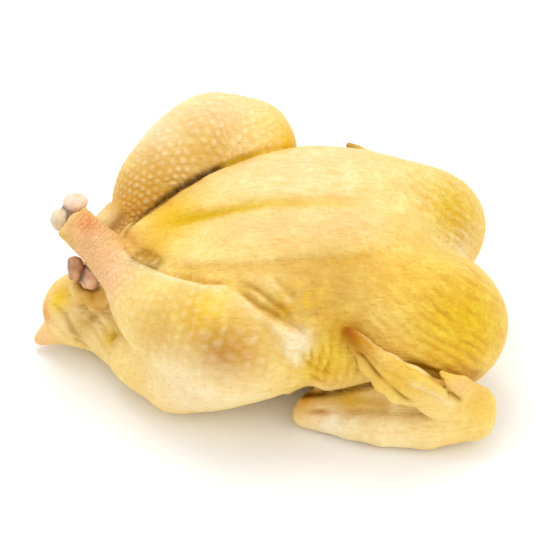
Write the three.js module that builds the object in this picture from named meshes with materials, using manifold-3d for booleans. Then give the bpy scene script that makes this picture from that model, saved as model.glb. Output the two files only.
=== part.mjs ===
// Whole raw chicken, plucked and trimmed, lying on its back with its ankles crossed at the tail.
// +X runs from the tail to the neck end, +Y to the raised side of the bird, +Z is up.
// Every length is in millimetres. The bird rests on z = 0 by the flat of its back.
// It is drawn as a large bird and brought down to its own size by BIRD_SCALE.
import * as THREE from "three";
import { mergeVertices } from "three/addons/utils/BufferGeometryUtils.js";
import Module from "manifold-3d";

const wasm = await Module();
wasm.setup();

const vec = (x, y, z) => new THREE.Vector3(x, y, z);

// ---- Driving dimensions ----

const BIRD_SCALE = 0.9; // from the large bird drawn here to one of 1.8 kg
const TORSO_ROLL = THREE.MathUtils.degToRad(13); // the bird leans, its +Y side higher
const TORSO_PLACE = vec(0, 8, -2); // where the torso's own origin lands
const MIDDLE = vec(-7.4, 3.6, 0); // middle of the bird's footprint, moved to x = y = 0

const RIB_CAGE = { centre: vec(12, 0, 54), radii: vec(92, 61, 55) };
const BREAST_LOBE = { centre: vec(18, 31, 68), radii: vec(88, 44, 42) };
const FULL_BREAST = { centre: vec(30, 34, 68), radii: vec(62, 41.5, 40) }; // the higher side is fuller
const SHOULDER = { centre: vec(85, 36, 58), radii: vec(39, 31.5, 37) };
const FULL_SHOULDER = { centre: vec(90, -37, 59), radii: vec(35, 34, 41) };
const CREST_SOFTNESS = 2; // rounds the line where the two mirrored halves meet
const FILLET = { // how far neighbouring shapes flow into each other
  breast: 22, shoulder: 20, fullShoulder: 14, fullBreast: 12, breastEnd: 14, keel: 16, hips: 16,
  keelPoint: 10, tail: 10, tailTip: 8, thighSkin: 8, flap: 4,
  thigh: 8, legKnots: 12, hip: 16, web: 4, arm: 2, hand: 4, cuff: 2,
};

const SHANK_RADIUS = 11; // the thin end of a drumstick, skin included
const CUT_EDGE = 3; // rounding of the skin where the foot was taken off
const BONE_SHAFT = 4.2; // radius of the shin bone
const BONE_FLARE = 0.6; // how much the shaft widens toward its knuckles
const KNEE_HEAD = 5.6; // radius of the shin bone's inner end
const BONE_LENGTH = 105;
const BONE_GAP = 0.35; // clearance between a bone and the flesh round it

const GRID = { body: 11, leg: 9.3, arm: 8, tailTip: 6.4, cuff: 5, hand: 4.8 }; // facet sizes
const BOX_MARGIN = 2; // grid cells left free round a piece
const SLIVER = 0.4; // facets thinner than this, left where two pieces meet, are merged away
const SETTLE_STEP = 0.05; // reach of a slope measurement
const SETTLE_ROUNDS = 3;
const LEAST_SLOPE = 0.1; // keeps a settling step short where the shape is almost flat
const RELAX_ROUNDS = 3;
const RELAX_SHARE = 0.5; // how far a point slides toward its neighbours in one round
const ROUND_FACETS = { around: 10, along: 7 }; // facets of a bar or a ball
const WELD = 1e-3; // points closer than this are one

// ---- Solid shapes as distances: negative inside, positive outside ----

const smoothMin = (a, b, k) => {
  const h = THREE.MathUtils.clamp(0.5 + (b - a) / (2 * k), 0, 1);
  return b + (a - b) * h - k * h * (1 - h);
};

// Shapes merged one after another, each with a fillet of its own.
const merge = (first, ...rest) => (p) =>
  rest.reduce((d, [fillet, shape]) => smoothMin(d, shape(p), fillet), first(p));

const carve = (fillet, shape, hollow) => (p) => -smoothMin(-shape(p), hollow(p), fillet);

const ellipsoid = ({ centre, radii }) => (p) => {
  const q = p.clone().sub(centre).divide(radii);
  const size = q.length();
  return (size * (size - 1)) / Math.max(q.divide(radii).length(), 1e-9);
};

// A rod with round ends of radius ra at a and rb at b.
const rod = (a, b, ra, rb) => {
  const axis = b.clone().sub(a);
  const length2 = axis.lengthSq();
  const taper = ra - rb;
  const slant2 = length2 - taper * taper;
  return (p) => {
    const q = p.clone().sub(a);
    const along = q.dot(axis);
    const beyond = along - length2;
    const side2 = q.multiplyScalar(length2).addScaledVector(axis, -along).lengthSq();
    const past2 = beyond * beyond * length2;
    const before2 = along * along * length2;
    const lean = Math.sign(taper) * taper * taper * side2;
    if (Math.sign(beyond) * slant2 * past2 > lean) return Math.sqrt(side2 + past2) / length2 - rb;
    if (Math.sign(along) * slant2 * before2 < lean) return Math.sqrt(side2 + before2) / length2 - ra;
    return (Math.sqrt((side2 * slant2) / length2) + along * taper) / length2 - ra;
  };
};

// A rod pressed flat: its thickness along `across` is `share` of its width.
const strap = (a, b, ra, rb, across, share) => {
  const axis = b.clone().sub(a);
  const normal = across.clone().addScaledVector(axis, -across.dot(axis) / axis.lengthSq()).normalize();
  const round = rod(a, b, ra, rb);
  return (p) => {
    const off = p.clone().sub(a).dot(normal);
    return round(p.clone().addScaledVector(normal, off * (1 / share - 1))) * Math.sqrt(share);
  };
};

// Rods through a row of points, each with a radius of its own.
const chain = (knots, radii, fillet) =>
  merge(
    rod(knots[0], knots[1], radii[0], radii[1]),
    ...knots.slice(2).map((knot, n) => [fillet, rod(knots[n + 1], knot, radii[n + 1], radii[n + 2])]),
  );

// The same with flattened rods.
const blade = (knots, radii, fillet, across, share) =>
  merge(
    strap(knots[0], knots[1], radii[0], radii[1], across, share),
    ...knots.slice(2).map((knot, n) =>
      [fillet, strap(knots[n + 1], knot, radii[n + 1], radii[n + 2], across, share)]),
  );

// What lies beyond a plane through `point`, on the side `outward` points to.
const beyond = (point, outward) => {
  const normal = outward.clone().normalize();
  return (p) => -p.clone().sub(point).dot(normal);
};

// ---- The bird ----

const TORSO_FRAME = new THREE.Matrix4()
  .makeRotationX(TORSO_ROLL)
  .setPosition(TORSO_PLACE);
const TO_TORSO = TORSO_FRAME.clone().invert();

// Each rod here is its two ends and their radii.
const BREAST_END = [vec(-70, 10, 74), vec(-10, 8, 68), 14, 42];
const KEEL = [vec(-74, 0, 82), vec(70, 0, 99), 8, 9];
const HIPS = [vec(-86, 0, 27), vec(-30, 0, 36), 22, 32];
const KEEL_POINT = [vec(-80, -2, 84), vec(-44, 6, 77), 8, 24];

const mirrored = (shape) => (p) => shape(vec(p.x, Math.hypot(p.y, CREST_SOFTNESS), p.z));
const leaning = (shape) => (p) => shape(p.clone().applyMatrix4(TO_TORSO));

const torso = () => {
  const half = merge(
    ellipsoid(RIB_CAGE),
    [FILLET.breast, ellipsoid(BREAST_LOBE)],
    [FILLET.shoulder, ellipsoid(SHOULDER)],
  );
  const tapered = merge(
    mirrored(half),
    [FILLET.fullShoulder, ellipsoid(FULL_SHOULDER)],
    [FILLET.fullBreast, ellipsoid(FULL_BREAST)],
    [FILLET.breastEnd, mirrored(rod(...BREAST_END))],
    [FILLET.keel, mirrored(rod(...KEEL))],
    [FILLET.hips, mirrored(rod(...HIPS))],
  );
  return merge(leaning(tapered), [FILLET.keelPoint, rod(...KEEL_POINT)]);
};

const UP = vec(0, 0, 1);
const TAIL_STUMP = [vec(-116, 5, 26), vec(-100, 4, 26), 22, 21];
const TAIL_TIP = [vec(-119, 3, 20), vec(-141, 0, 8), 15.5, 4.5, UP, 0.9];
const VENT_FLAP = [vec(-105, 12, 76), vec(-93, 24, 83), 6.5, 6.5]; // skin behind the near shank
const THIGH_SKIN = { // runs on from the tail to the near thigh
  knots: [vec(-104, -3, 17), vec(-78, -34, 22), vec(-56, -46, 26)],
  radii: [13, 16.5, 27],
};

const tailTip = () => strap(...TAIL_TIP);

const tail = () =>
  merge(
    rod(...TAIL_STUMP),
    [FILLET.tailTip, tailTip()],
    [FILLET.thighSkin, chain(THIGH_SKIN.knots, THIGH_SKIN.radii, FILLET.thighSkin)],
    [FILLET.flap, rod(...VENT_FLAP)],
  );

const body = () => merge(torso(), [FILLET.tail, tail()]);

// The small pit between the breast's thin end and the near shank.
const BREAST_PIT = { from: vec(-76, -21, 87), to: vec(-69, -27, 89), radius: 4 };

// The hollow under the near knee, where the elbow lies.
const ELBOW_HOLLOW = { from: vec(15, -105, 50), to: vec(15, -55, 9), radius: 7.5 };

const NEAR_LEG = {
  ankle: vec(-115.5, 4, 93),
  knots: [vec(-93.5, -10, 77), vec(-66, -34, 61), vec(-28, -50, 56), vec(2, -58, 50)],
  radii: [11.2, 23, 34, 22],
  hip: [vec(0, -54, 44), vec(-42, -44, 36), 20, 35],
};

const FAR_LEG = {
  ankle: vec(-106.5, -9, 57),
  knots: [vec(-90, 22, 66), vec(-68, 47, 82), vec(-50, 60, 89), vec(-33, 70, 92), vec(-14, 73, 92)],
  radii: [11, 22, 29, 32, 28],
  hip: [vec(-12, 66, 66), vec(-45, 50, 40), 26, 34],
};

const leg = ({ ankle, knots, radii, hip }) => {
  const outward = ankle.clone().sub(knots[0]);
  const shank = rod(ankle, knots[0], SHANK_RADIUS, radii[0]);
  return merge(
    carve(CUT_EDGE, shank, beyond(ankle, outward)),
    [FILLET.thigh, chain(knots, radii, FILLET.legKnots)],
    [FILLET.hip, rod(...hip)],
  );
};

// The loose skin bunched under the far hock.
const FAR_CUFF = {
  knots: [vec(-116, -9, 55), vec(-112, -14, 51), vec(-105, -16, 49.5), vec(-98.5, -14, 52)],
  radii: [3.5, 5, 5.5, 5],
};

const farCuff = () => chain(FAR_CUFF.knots, FAR_CUFF.radii, FILLET.cuff);

const HAND_FLATNESS = 0.6; // thickness as a share of the width
const THUMB_FLATNESS = 0.75;

const NEAR_WING = {
  upper: [vec(92, -56, 38), vec(18, -68, 13), 20, 9],
  web: [vec(30, -73, 12), vec(92, -72, 22), 8, 12],
  forearm: { knots: [vec(14, -69, 8), vec(38, -78.5, 9.5), vec(56, -83.4, 10.5), vec(80, -85.5, 11.6),
    vec(105, -83, 16)], radii: [7.4, 8.8, 10.4, 11.4, 12.8] },
  hand: { knots: [vec(107, -83, 24), vec(69, -87, 44), vec(53, -85.5, 58), vec(34, -79, 79)],
    radii: [12, 11, 8, 4.5] },
  thumb: [vec(106, -83, 30), vec(85.5, -86, 54), 9, 3],
  outward: vec(0, -1, 0.6),
};

const FAR_WING = {
  upper: [vec(92, 58, 50), vec(28, 78, 32), 20, 9.5],
  web: [vec(38, 80, 30), vec(96, 78, 38), 8, 12],
  forearm: { knots: [vec(24, 80, 28), vec(56, 87, 29), vec(76, 89, 29), vec(108, 90, 31)],
    radii: [7, 9.5, 10.8, 12] },
  hand: { knots: [vec(106, 88, 38), vec(72, 84, 56), vec(58, 82, 70), vec(46, 79, 82)],
    radii: [12, 11.5, 8, 4] },
  thumb: [vec(109, 87, 44), vec(91, 87, 64), 9, 3],
  outward: vec(0, 1, 0.5),
};

// The upper arm with the skin that fills the bend of the wing.
const upperArm = ({ upper, web }) => merge(rod(...upper), [FILLET.web, rod(...web)]);

const lowerArm = ({ forearm }) => chain(forearm.knots, forearm.radii, FILLET.arm);

const hand = ({ hand: { knots, radii }, outward }) =>
  blade(knots, radii, FILLET.hand, outward, HAND_FLATNESS);

const thumb = ({ thumb, outward }) => strap(...thumb, outward, THUMB_FLATNESS);

const NEAR_BONE = {
  inner: vec(-5.3, -59.3, 44),
  exit: vec(-113.5, 0.4, 89.6),
  knuckles: [
    { centre: vec(-113.5, 13.5, 99), radii: vec(7, 5.8, 5.2) },
    { centre: vec(-122.3, 7.5, 91), radii: vec(5.6, 5.6, 7) },
  ],
};

const FAR_BONE = {
  inner: vec(-37.6, 80.7, 75.2),
  exit: vec(-104, -5, 58.5),
  knuckles: [
    { centre: vec(-106.3, -11, 64), radii: vec(6, 6.6, 8) },
    { centre: vec(-114.3, -10, 69.5), radii: vec(4.6, 5.8, 8.5) },
  ],
};

// ---- From shapes to closed meshes ----

const CORNERS = [0, 1, 2, 3, 4, 5, 6, 7].map((i) => [i & 1, (i >> 1) & 1, (i >> 2) & 1]);
const EDGES = CORNERS.flatMap((c, i) =>
  [0, 1, 2].filter((axis) => !c[axis]).map((axis) => [i, i | (1 << axis)]));

const gradient = (shape, p, step) =>
  vec(
    shape(vec(p.x + step, p.y, p.z)) - shape(vec(p.x - step, p.y, p.z)),
    shape(vec(p.x, p.y + step, p.z)) - shape(vec(p.x, p.y - step, p.z)),
    shape(vec(p.x, p.y, p.z + step)) - shape(vec(p.x, p.y, p.z - step)),
  ).divideScalar(2 * step);

// Moves a point along the shape's slope until it lies on the surface.
const settle = (shape, p, rounds) => {
  for (let i = 0; i < rounds; i++) {
    const slope = gradient(shape, p, SETTLE_STEP);
    p.addScaledVector(slope, -shape(p) / Math.max(slope.lengthSq(), LEAST_SLOPE));
  }
  return p;
};

// Samples the shape at the nodes of a grid.
const sample = (shape, box, cell) => {
  const size = box.getSize(vec(0, 0, 0)).divideScalar(cell).ceil().toArray().map((n) => n + 1);
  const at = (i, j, k) => (k * size[1] + j) * size[0] + i;
  const place = (i, j, k) => vec(i, j, k).multiplyScalar(cell).add(box.min);
  const values = new Float64Array(size[0] * size[1] * size[2]);
  for (let k = 0; k < size[2]; k++)
    for (let j = 0; j < size[1]; j++)
      for (let i = 0; i < size[0]; i++) values[at(i, j, k)] = shape(place(i, j, k));
  return { size, at, place, values };
};

// The point of one grid cell where the surface crosses its edges, on average.
const crossing = ({ at, place, values }, i, j, k, cell) => {
  const corner = CORNERS.map(([a, b, c]) => values[at(i + a, j + b, k + c)]);
  const cut = EDGES.filter(([a, b]) => corner[a] < 0 !== corner[b] < 0);
  if (!cut.length) return null;
  const middle = vec(0, 0, 0);
  for (const [a, b] of cut) {
    const share = corner[a] / (corner[a] - corner[b]);
    const [from, to] = [vec(...CORNERS[a]), vec(...CORNERS[b])];
    middle.addScaledVector(from.lerp(to, share), 1 / cut.length);
  }
  return middle.multiplyScalar(cell).add(place(i, j, k));
};

// One face for each grid edge the surface crosses, joining the cells round that edge.
const facesOf = ({ size, at, values }, vertexOf) => {
  const quads = [];
  for (let k = 1; k < size[2] - 1; k++)
    for (let j = 1; j < size[1] - 1; j++)
      for (let i = 1; i < size[0] - 1; i++)
        for (const axis of [0, 1, 2]) {
          const step = [0, 1, 2].map((n) => (n === axis ? 1 : 0));
          const inside = values[at(i, j, k)] < 0;
          if (inside === values[at(i + step[0], j + step[1], k + step[2])] < 0) continue;
          const u = [0, 1, 2].map((n) => (n === (axis + 1) % 3 ? 1 : 0));
          const v = [0, 1, 2].map((n) => (n === (axis + 2) % 3 ? 1 : 0));
          const back = (from, n, a, b) => from - a * u[n] - b * v[n];
          const cellAt = (a, b) => vertexOf[at(back(i, 0, a, b), back(j, 1, a, b), back(k, 2, a, b))];
          const ring = [cellAt(1, 1), cellAt(0, 1), cellAt(0, 0), cellAt(1, 0)];
          quads.push(inside ? ring : ring.reverse());
        }
  return quads;
};

// Slides each point toward the middle of its neighbours, then back on to the surface.
const relax = (shape, points, quads, rounds) => {
  for (let round = 0; round < rounds; round++) {
    const sums = points.map(() => vec(0, 0, 0));
    const counts = new Array(points.length).fill(0);
    for (const ring of quads)
      ring.forEach((from, n) => {
        const to = ring[(n + 1) % 4];
        sums[from].add(points[to]);
        sums[to].add(points[from]);
        counts[from]++;
        counts[to]++;
      });
    points.forEach((p, n) => settle(shape, p.lerp(sums[n].divideScalar(counts[n]), RELAX_SHARE), 1));
  }
};

const split = (points, [a, b, c, d]) =>
  points[a].distanceTo(points[c]) <= points[b].distanceTo(points[d])
    ? [a, b, c, a, c, d]
    : [a, b, d, b, c, d];

const manifoldOf = (positions, indices) =>
  new wasm.Manifold(
    new wasm.Mesh({
      numProp: 3,
      vertProperties: new Float32Array(positions),
      triVerts: new Uint32Array(indices),
    }),
  );

const solidOfShape = (shape, box, cell) => {
  const grid = sample(shape, box.clone().expandByScalar(BOX_MARGIN * cell), cell);
  const points = [];
  const vertexOf = new Int32Array(grid.values.length).fill(-1);
  for (let k = 0; k < grid.size[2] - 1; k++)
    for (let j = 0; j < grid.size[1] - 1; j++)
      for (let i = 0; i < grid.size[0] - 1; i++) {
        const p = crossing(grid, i, j, k, cell);
        if (p) vertexOf[grid.at(i, j, k)] = points.push(settle(shape, p, SETTLE_ROUNDS)) - 1;
      }
  const quads = facesOf(grid, vertexOf);
  relax(shape, points, quads, RELAX_ROUNDS);
  return manifoldOf(
    points.flatMap((p) => p.toArray()),
    quads.flatMap((ring) => split(points, ring)),
  );
};

const solidOfGeometry = (geometry) => {
  const bare = new THREE.BufferGeometry();
  bare.setAttribute("position", geometry.getAttribute("position"));
  bare.setIndex(geometry.getIndex());
  const merged = mergeVertices(bare, WELD);
  const index = merged.getIndex().array;
  const kept = [];
  for (let i = 0; i < index.length; i += 3) {
    const [a, b, c] = index.slice(i, i + 3);
    if (a !== b && b !== c && c !== a) kept.push(a, b, c);
  }
  return manifoldOf(merged.getAttribute("position").array, kept);
};

// ---- Bones ----

const ball = ({ centre, radii }, extra) =>
  solidOfGeometry(
    new THREE.SphereGeometry(1, ROUND_FACETS.around, ROUND_FACETS.along)
      .scale(...radii.clone().addScalar(extra).toArray())
      .translate(...centre.toArray()),
  );

const bar = (from, to, fromRadius, toRadius) => {
  const axis = to.clone().sub(from);
  const turn = new THREE.Quaternion().setFromUnitVectors(vec(0, 1, 0), axis.clone().normalize());
  return solidOfGeometry(
    new THREE.CylinderGeometry(toRadius, fromRadius, axis.length(), ROUND_FACETS.around)
      .applyQuaternion(turn)
      .translate(...from.clone().lerp(to, 0.5).toArray()),
  );
};

const shinBone = ({ inner, exit, knuckles }, extra) => {
  const knee = exit.clone().add(inner.clone().sub(exit).setLength(BONE_LENGTH));
  const head = knuckles[0].centre.clone().lerp(knuckles[1].centre, 0.5);
  const kneeRadii = vec(1, 1, 1).multiplyScalar(KNEE_HEAD);
  return [
    bar(exit, head, BONE_SHAFT + extra, BONE_SHAFT + BONE_FLARE + extra),
    ball({ centre: knee, radii: kneeRadii }, extra),
    ...knuckles.map((knuckle) => ball(knuckle, extra)),
  ].reduce((whole, piece) => whole.add(piece), bar(knee, exit, BONE_SHAFT + extra, BONE_SHAFT + extra));
};

// ---- Assembly ----

const boxOf = (min, max) => new THREE.Box3(vec(...min), vec(...max));
const FLOOR_BLOCK = { width: 600, height: 80 };

const joined = (pieces) => pieces.reduce((whole, piece) => whole.add(piece));

const floorBlock = () =>
  solidOfGeometry(
    new THREE.BoxGeometry(FLOOR_BLOCK.width, FLOOR_BLOCK.width, FLOOR_BLOCK.height)
      .translate(0, 0, -FLOOR_BLOCK.height / 2),
  );

const wingPieces = (wing, box) => [
  solidOfShape(upperArm(wing), box, GRID.arm),
  solidOfShape(lowerArm(wing), box, GRID.arm),
  solidOfShape(hand(wing), box, GRID.hand),
  solidOfShape(thumb(wing), box, GRID.hand),
];

const capsule = ({ from, to, radius }) => {
  const radii = vec(radius, radius, radius);
  return bar(from, to, radius, radius)
    .add(ball({ centre: from, radii }, 0))
    .add(ball({ centre: to, radii }, 0));
};

const carcass = () => {
  const trunk = [
    solidOfShape(body(), boxOf([-150, -80, -12], [130, 95, 120]), GRID.body),
    solidOfShape(tailTip(), boxOf([-150, -14, -8], [-100, 22, 38]), GRID.tailTip),
    solidOfShape(leg(NEAR_LEG), boxOf([-130, -95, -10], [30, 20, 110]), GRID.leg),
    solidOfShape(leg(FAR_LEG), boxOf([-120, -25, 0], [25, 110, 130]), GRID.leg),
    solidOfShape(farCuff(), boxOf([-125, -24, 40], [-90, -2, 62]), GRID.cuff),
  ];
  const wings = [
    ...wingPieces(NEAR_WING, boxOf([0, -107, -7], [122, -30, 85])),
    ...wingPieces(FAR_WING, boxOf([10, 35, 10], [126, 110, 95])),
  ];
  return joined([joined(trunk).subtract(capsule(ELBOW_HOLLOW)), ...wings])
    .simplify(SLIVER)
    .subtract(floorBlock())
    .subtract(capsule(BREAST_PIT))
    .subtract(shinBone(NEAR_BONE, BONE_GAP))
    .subtract(shinBone(FAR_BONE, BONE_GAP));
};

const SKIN_COLOUR = "#e8c878";
const BONE_COLOUR = "#dcc8b4";
const SHEEN = 0.5;

const meshOf = (name, solid, color) => {
  const { vertProperties, triVerts } = solid.getMesh();
  const geometry = new THREE.BufferGeometry();
  geometry.setAttribute("position", new THREE.BufferAttribute(vertProperties, 3));
  geometry.setIndex(new THREE.BufferAttribute(triVerts, 1));
  geometry.translate(-MIDDLE.x, -MIDDLE.y, -MIDDLE.z);
  geometry.scale(BIRD_SCALE, BIRD_SCALE, BIRD_SCALE);
  geometry.computeVertexNormals();
  const mesh = new THREE.Mesh(geometry, new THREE.MeshStandardMaterial({ color, roughness: SHEEN }));
  mesh.name = name;
  return mesh;
};


const chicken = new THREE.Group();
chicken.add(meshOf("carcass", carcass(), SKIN_COLOUR));
chicken.add(meshOf("near_shin_bone", shinBone(NEAR_BONE, 0), BONE_COLOUR));
chicken.add(meshOf("far_shin_bone", shinBone(FAR_BONE, 0), BONE_COLOUR));

export default chicken;
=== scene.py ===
"""Looks of a whole raw chicken: one skin with its folds and follicles, two bared shin bones.

The bird is drawn in millimetres at the large size of the CAD source. to_world scales it to its own
size and brings the middle of its footprint to the origin.
"""

import math
from types import SimpleNamespace

import bpy
import numpy as np
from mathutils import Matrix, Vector


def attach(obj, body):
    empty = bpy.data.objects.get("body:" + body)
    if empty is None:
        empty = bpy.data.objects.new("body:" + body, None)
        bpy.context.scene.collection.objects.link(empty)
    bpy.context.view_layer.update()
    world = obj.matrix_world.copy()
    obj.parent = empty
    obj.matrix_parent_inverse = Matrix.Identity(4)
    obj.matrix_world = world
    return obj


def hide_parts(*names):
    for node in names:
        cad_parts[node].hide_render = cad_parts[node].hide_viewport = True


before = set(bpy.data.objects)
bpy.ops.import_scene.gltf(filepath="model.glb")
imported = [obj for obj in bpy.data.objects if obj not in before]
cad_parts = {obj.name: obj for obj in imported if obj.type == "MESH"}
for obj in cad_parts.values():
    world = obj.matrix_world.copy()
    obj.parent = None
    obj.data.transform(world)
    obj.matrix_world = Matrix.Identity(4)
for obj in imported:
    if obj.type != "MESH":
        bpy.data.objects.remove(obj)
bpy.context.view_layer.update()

# ---- Driving dimensions, in millimetres of the drawn bird ----

BIRD_SCALE = 0.9
MIDDLE = np.array([-7.4, 3.6, 0.0])
TORSO_ROLL = math.radians(13)
TORSO_PLACE = np.array([0.0, 8.0, -2.0])
CREST_SOFTNESS = 2.0  # rounds the line where the torso's two mirrored halves meet
SHANK_RADIUS = 11.0
CUT_EDGE = 1.8  # rounding of the skin where the foot was taken off
HAND_FLATNESS = 0.5
THIN_FLATNESS = 0.42  # of the thumb and the fringe
BONE_LENGTH = 105
BONE_SHAFT = 4.4
BONE_EXIT = 4.2
BONE_NECK = 4
FLOOR_EDGE = 1.5  # rounding where the bird is cut flat by the floor

# How far neighbouring shapes flow into each other.
FILLET = SimpleNamespace(
    breast=22, shoulder=20, full_shoulder=14, full_breast=12, breast_end=14, keel=16, hips=16,
    keel_point=10, tail=10, tail_tip=3, thigh_skin=8, flap=4, leg_knots=(14, 12, 12), thigh=8, hip=16,
    near_leg=3, far_leg=2, cuff=2, elbow=5, wing=1.5, pit=2, web=4, arm=1.5, arm_knots=(2, 2, 2),
    hand=2.5, hand_knots=4, leading_edge=2, fringe=1.2, thumb=2, knuckles=1, neck=1.2, shaft=2,
)

SKIN_GRID = 1.52
BONE_GRID = 0.8
SKIN_BOX = ((-150, -108, -4), (133, 114, 132))
BONE_MARGIN = 10


def to_world(points):
    """Drawn millimetres to metres in the frame."""
    return (points - MIDDLE) * BIRD_SCALE * 0.001


# ---- Solid shapes as distances: negative inside, positive outside ----


def vec(x, y, z):
    return np.array([x, y, z], float)


def unit(v):
    return v / np.linalg.norm(v)


def unit_rows(rows):
    return rows / np.maximum(np.linalg.norm(rows, axis=1), 1e-6)[:, None]


def smooth_min(a, b, fillet):
    h = np.clip(0.5 + (b - a) / (2 * fillet), 0, 1)
    return b + (a - b) * h - fillet * h * (1 - h)


def smooth_max(a, b, fillet):
    return -smooth_min(-a, -b, fillet)


def joined(d, *others):
    """The distance d with more of them merged in one after another, each given after its fillet."""
    for fillet, other in others:
        d = smooth_min(d, other, fillet)
    return d


def ellipsoid(p, centre, radii):
    q = (p - np.asarray(centre, float)) / np.asarray(radii, float)
    size = np.sqrt((q * q).sum(-1))
    slope = np.sqrt(((q / np.asarray(radii, float)) ** 2).sum(-1))
    return size * (size - 1) / np.maximum(slope, 1e-9)


def rod(p, a, b, ra, rb):
    """A rod with round ends of radius ra at a and rb at b."""
    axis = b - a
    length2 = axis @ axis
    taper = ra - rb
    slant2 = length2 - taper * taper
    q = p - a
    along = q @ axis
    beyond = along - length2
    side2 = ((q * length2 - np.outer(along, axis)) ** 2).sum(-1)
    past2 = beyond * beyond * length2
    before2 = along * along * length2
    lean = np.sign(taper) * taper * taper * side2
    at_b = np.sqrt(side2 + past2) / length2 - rb
    at_a = np.sqrt(side2 + before2) / length2 - ra
    between = (np.sqrt(side2 * slant2 / length2) + along * taper) / length2 - ra
    inner = np.where(np.sign(along) * slant2 * before2 < lean, at_a, between)
    return np.where(np.sign(beyond) * slant2 * past2 > lean, at_b, inner)


def strap(p, a, b, ra, rb, across, share):
    """A rod pressed flat: its thickness along `across` is `share` of its width."""
    axis = b - a
    normal = unit(across - (across @ axis) / (axis @ axis) * axis)
    off = (p - a) @ normal
    wide = p + np.outer(off * (1 / share - 1), normal)
    return rod(wide, a, b, ra, rb) * math.sqrt(share)


def chain(p, knots, radii, fillets):
    """Rods through a row of knots, each knot with its own radius and each inner one with a fillet."""
    rods = [rod(p, *ends) for ends in zip(knots, knots[1:], radii, radii[1:])]
    return joined(rods[0], *zip(fillets, rods[1:]))


def blade(p, knots, radii, across, share):
    """The same with rods pressed flat."""
    straps = [strap(p, *ends, across, share) for ends in zip(knots, knots[1:], radii, radii[1:])]
    return joined(straps[0], *((FILLET.hand_knots, piece) for piece in straps[1:]))


# ---- Seeded noise ----

CORNERS = np.array([[i & 1, (i >> 1) & 1, (i >> 2) & 1] for i in range(8)])


def hashed(x, y, z, seed):
    n = (x * 374761393 + y * 668265263 + z * 2147483647 + seed * 974711) & 0xFFFFFFFF
    n = ((n ^ (n >> 13)) * 1274126177) & 0xFFFFFFFF
    return ((n ^ (n >> 16)) & 0xFFFF) / 32767.5 - 1


def noise(p, seed=0):
    """Smooth noise between -1 and 1 that changes over about one unit."""
    base = np.floor(p).astype(np.int64)
    part = p - base
    part = part * part * (3 - 2 * part)
    total = np.zeros(len(p))
    for c in CORNERS:
        weight = np.prod(np.where(c, part, 1 - part), axis=-1)
        total += weight * hashed(*(base + c).T, seed)
    return total


# ---- The bird's landmarks ----

# Each ellipsoid is its centre and its radii.
RIB_CAGE = ((12, 0, 54), (92, 61, 55))
BREAST_LOBE = ((18, 31, 68), (88, 44, 42))
SHOULDER = ((85, 36, 58), (39, 31.5, 37))
FULL_SHOULDER = ((90, -37, 59), (35, 34, 41))
FULL_BREAST = ((30, 34, 68), (62, 41.5, 40))

# Each rod is its two ends and their radii.
BREAST_END = (vec(-70, 10, 74), vec(-10, 8, 68), 14, 42)
KEEL = (vec(-74, 0, 82), vec(70, 0, 99), 8, 9)
HIPS = (vec(-86, 0, 27), vec(-30, 0, 36), 22, 32)
KEEL_POINT = (vec(-80, -2, 84), vec(-44, 6, 77), 8, 24)
TAIL_STUMP = (vec(-116, 5, 26), vec(-100, 4, 26), 22, 21)
TAIL_TIP = (vec(-119, 3, 20), vec(-141, 0, 8), 15.5, 3.6, vec(0, 0, 1), 0.9)
VENT_FLAP = (vec(-105, 12, 76), vec(-93, 24, 83), 6.5, 6.5)
BREAST_PIT = (vec(-76, -21, 87), vec(-69, -27, 88.5), 4, 4)
ELBOW_HOLLOW = (vec(15, -93, 41), vec(15, -55, 9), 7.5, 7.5)

# Each chain is its knots and their radii.
THIGH_SKIN = ([vec(-104, -3, 17), vec(-78, -34, 22), vec(-56, -46, 26)], [13, 16.5, 27])
FAR_CUFF = ([vec(-116, -9, 55), vec(-112, -14, 51), vec(-105, -16, 49.5), vec(-98.5, -14, 52)],
            [3.5, 5, 5.5, 5])

NEAR_LEG = SimpleNamespace(
    ankle=vec(-115.5, 4, 93),
    knots=[vec(-93.5, -10, 77), vec(-66, -34, 61), vec(-28, -50, 56), vec(2, -58, 50)],
    radii=[11.2, 23, 34, 22],
    hip=(vec(0, -54, 44), vec(-42, -44, 36), 20, 35),
    follicle_radii=[14, 16, 24, 34, 30],
    follicle_columns=30,
)
FAR_LEG = SimpleNamespace(
    ankle=vec(-106.5, -9, 57),
    knots=[vec(-90, 22, 66), vec(-68, 47, 82), vec(-50, 60, 89), vec(-33, 70, 92), vec(-14, 73, 92)],
    radii=[11, 22, 29, 32, 28],
    hip=(vec(-12, 66, 66), vec(-45, 50, 40), 26, 34),
    follicle_radii=[17, 18, 21, 24, 26, 26],
    follicle_columns=32,
)
NEAR_WING = SimpleNamespace(
    upper=(vec(92, -56, 38), vec(18, -68, 13), 20, 9),
    web=(vec(30, -73, 12), vec(92, -72, 22), 8, 12),
    forearm=([vec(14, -69, 8), vec(38, -78.5, 9.5), vec(56, -83.4, 10.5), vec(80, -85.5, 11.6),
              vec(105, -83, 16)], [7.4, 8.8, 10.4, 11.4, 12.8]),
    hand=([vec(107, -83, 24), vec(86, -86, 34), vec(69, -86, 46), vec(55, -85, 58), vec(41, -82, 72),
           vec(34, -79, 79)], [12, 10.5, 9, 6.6, 4.4, 3.2]),
    thumb=([vec(85.5, -86, 54), vec(96, -86, 43), vec(106, -83, 30)], [1.8, 5.6, 9]),
    fringe=([vec(38, -82, 69), vec(45, -84.5, 59), vec(53.5, -87.5, 48.5), vec(62, -88.5, 40.5),
             vec(70, -89, 36)], [2.2, 3, 3.4, 3.6, 3.4]),
    outward=unit(vec(0, -1, 0.6)),
)
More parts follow.
